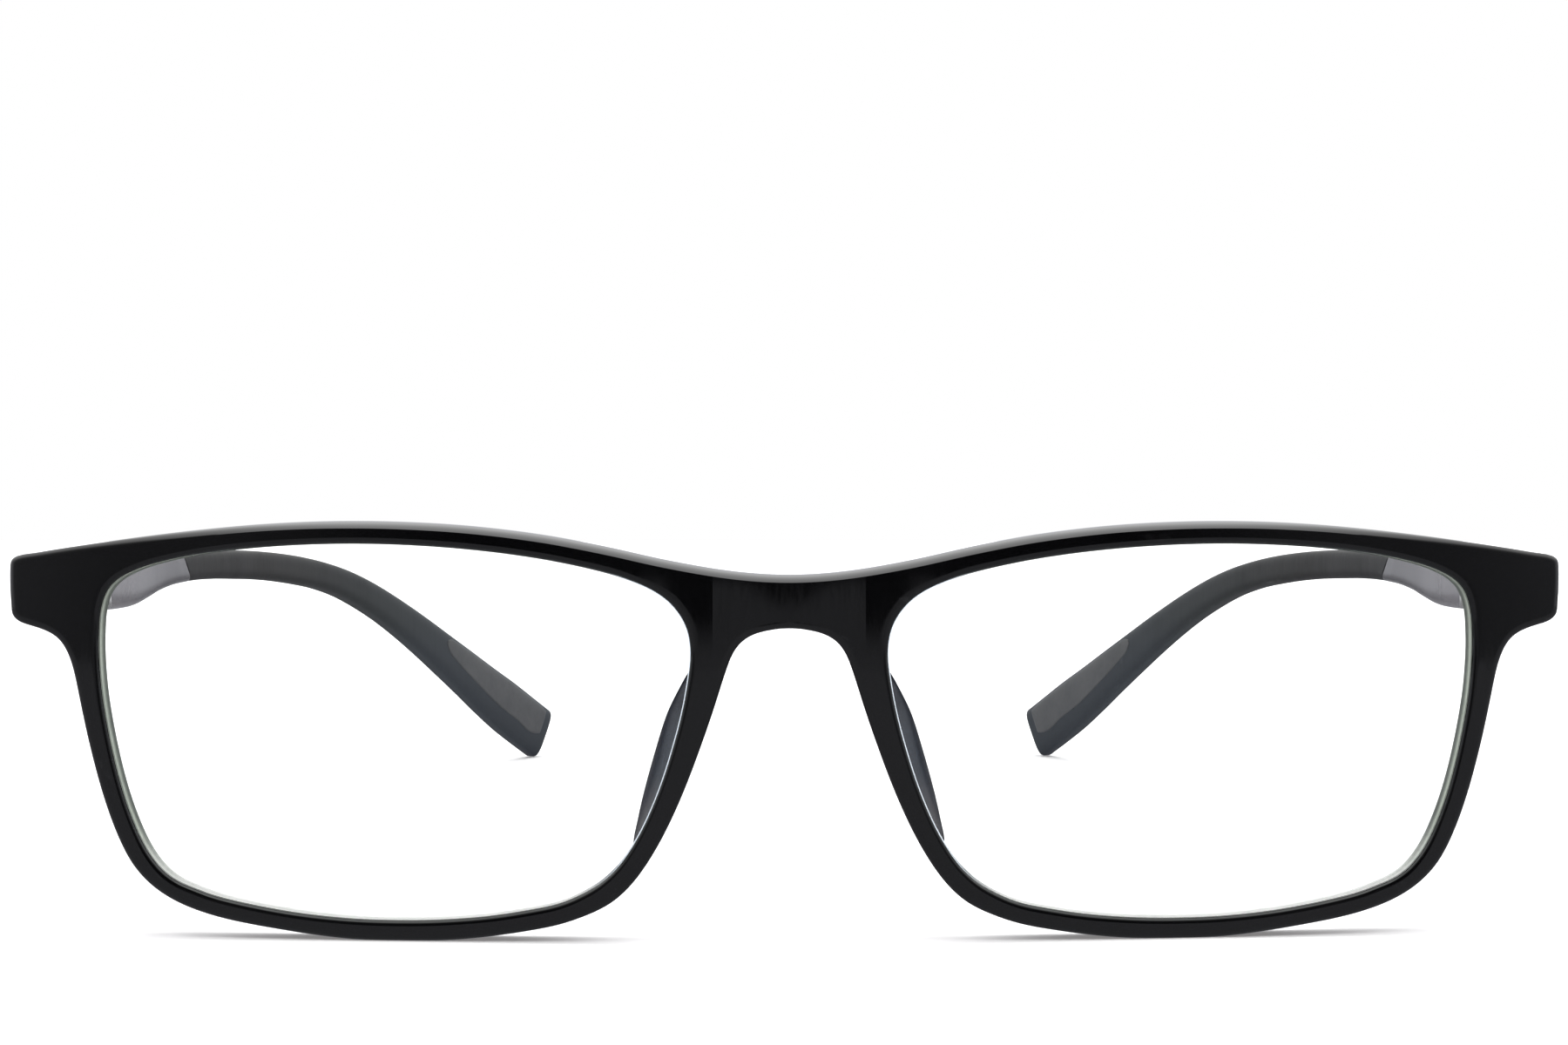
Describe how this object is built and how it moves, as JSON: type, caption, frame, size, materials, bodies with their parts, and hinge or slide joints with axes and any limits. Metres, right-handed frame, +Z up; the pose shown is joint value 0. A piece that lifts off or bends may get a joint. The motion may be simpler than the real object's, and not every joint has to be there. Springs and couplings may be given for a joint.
{
  "type": "blue light glasses",
  "caption": "Full-rim rectangular spectacles with clear plano lenses, moulded nose pads and two-section temples that fold inward on barrel hinges.",
  "frame": {"origin": "on the floor plane, under the middle of the bridge in X, halfway between the front-most point of the front and the temple tips in Y", "axes": "+Z up as the glasses rest open on a table, -Y out of the front face, +Y along the temples towards the ears, +X to the wearer's left"},
  "size_m": [0.1404, 0.1542, 0.0367],
  "materials": {
    "front": "polished black moulded nylon, glossy on the front face and bevels, a little softer at the back",
    "lens": "clear optical plastic with a near-colourless coating, ground bevel at the edge",
    "nose_pad": "glossy black, moulded onto the rim",
    "hinge_metal": "nickel-plated, fine drawn grain, polished by wear at the barrels",
    "temple_front": "polished dark plastic with a faint violet-grey sheen",
    "core_wire": "flat stainless spring wire inside the temple",
    "temple_rear": "satin dark slate plastic, smooth",
    "ear_grip": "soft grey panel with a very fine grain"
  },
  "bodies": {
    "front": {"front_frame": "front", "lens_left": "lens", "lens_right": "lens", "nose_pad_left": "nose_pad", "nose_pad_right": "nose_pad", "hinge_front_leaf_left": "hinge_metal", "hinge_front_leaf_right": "hinge_metal", "hinge_screw_left": "hinge_metal", "hinge_screw_right": "hinge_metal"},
    "temple_left": {"hinge_temple_leaf_left": "hinge_metal", "temple_front_left": "temple_front", "temple_core_left": "core_wire", "temple_rear_left": "temple_rear", "ear_grip_left": "ear_grip"},
    "temple_right": {"hinge_temple_leaf_right": "hinge_metal", "temple_front_right": "temple_front", "temple_core_right": "core_wire", "temple_rear_right": "temple_rear", "ear_grip_right": "ear_grip"}
  },
  "joints": [
    {"name": "temple_left_fold", "type": "hinge", "parent": "front", "child": "temple_left", "pos_m": [0.06375, -0.06496, 0.0309], "axis": [0, 0, 1], "range_deg": [0, 79]},
    {"name": "temple_right_fold", "type": "hinge", "parent": "front", "child": "temple_right", "pos_m": [-0.06375, -0.06496, 0.0309], "axis": [0, 0, -1], "range_deg": [0, 74]}
  ]
}
